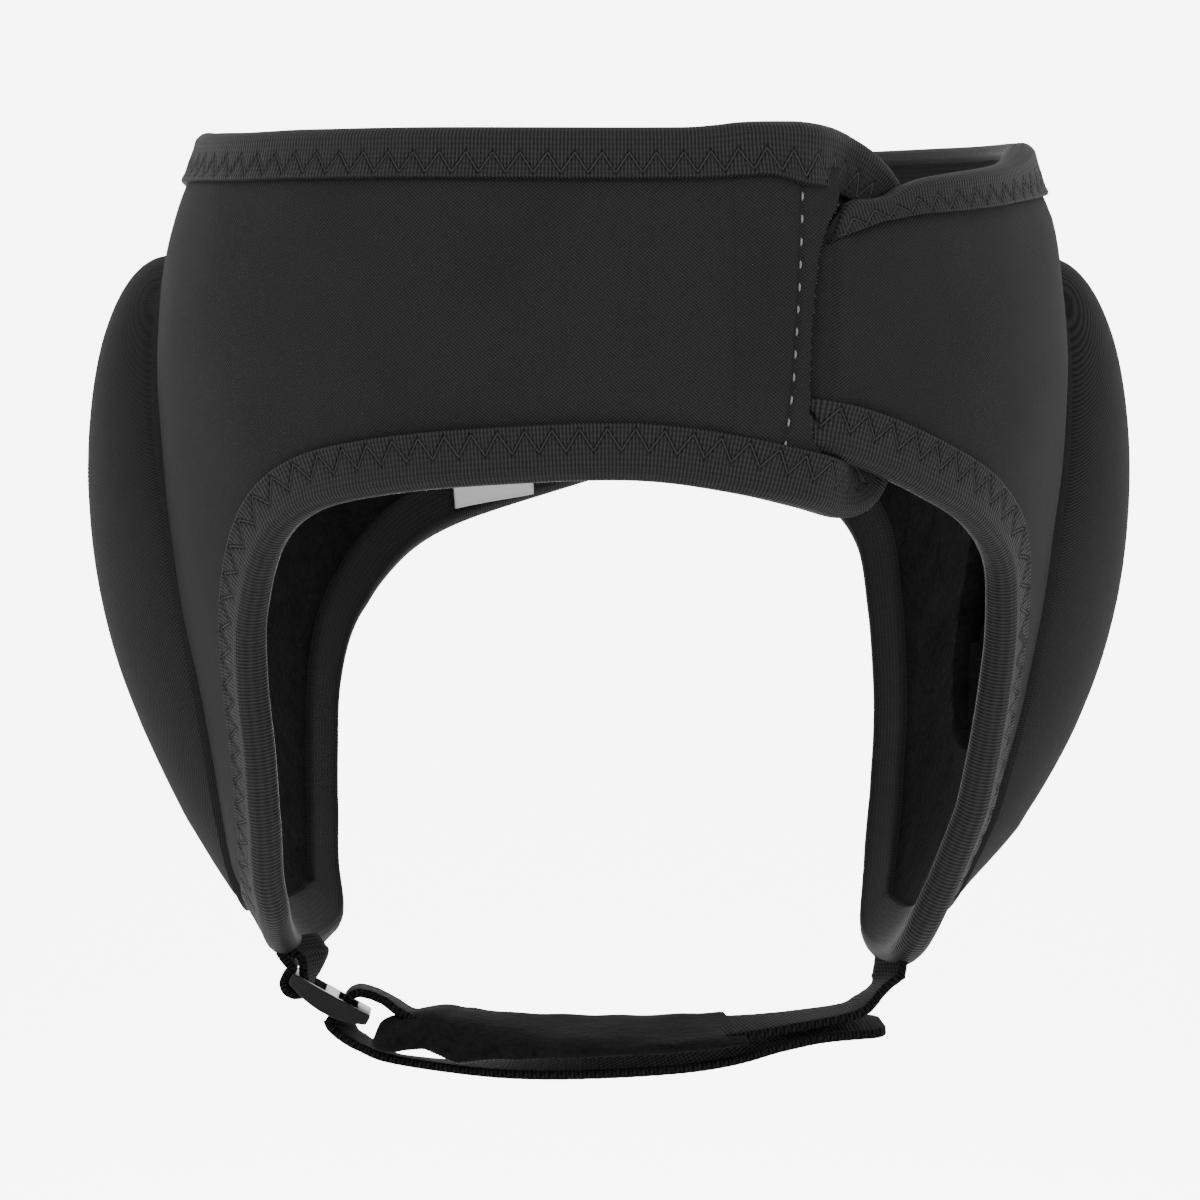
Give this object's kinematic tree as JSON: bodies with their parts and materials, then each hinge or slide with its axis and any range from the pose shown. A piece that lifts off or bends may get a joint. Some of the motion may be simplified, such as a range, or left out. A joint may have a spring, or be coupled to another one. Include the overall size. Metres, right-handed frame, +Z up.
{
  "type": "wrestling ear guard",
  "caption": "Soft neoprene ear guard for wrestling with domed ear pads, bound edges, an overlapping brow closure and a padded chin strap on a sliding buckle.",
  "frame": {"origin": "middle of the head that it is made for, at ear height; it is held there as a head holds a hat", "axes": "+Z up, the face opening looks along -Y, +X to the right of the front view (the wearer's left)"},
  "size_m": [0.1994, 0.1995, 0.1804],
  "materials": {
    "neoprene_jersey": "matte",
    "binding_tape": "ribbed, low sheen",
    "fleece_lining": "brushed",
    "webbing": "woven",
    "buckle_plastic": "semi gloss",
    "label_cloth": "satin, blank"
  },
  "bodies": {
    "root": {"left_panel": "neoprene_jersey", "right_panel": "neoprene_jersey", "closure_fly": "neoprene_jersey", "left_ear_pad": "neoprene_jersey", "right_ear_pad": "neoprene_jersey", "left_edge_binding": "binding_tape", "right_rim_binding": "binding_tape", "right_lower_binding": "binding_tape", "chin_pad": "fleece_lining", "chin_strap": "webbing", "left_strap_loop": "webbing", "tri_glide_buckle": "buckle_plastic", "care_label": "label_cloth"}
  },
  "joints": []
}
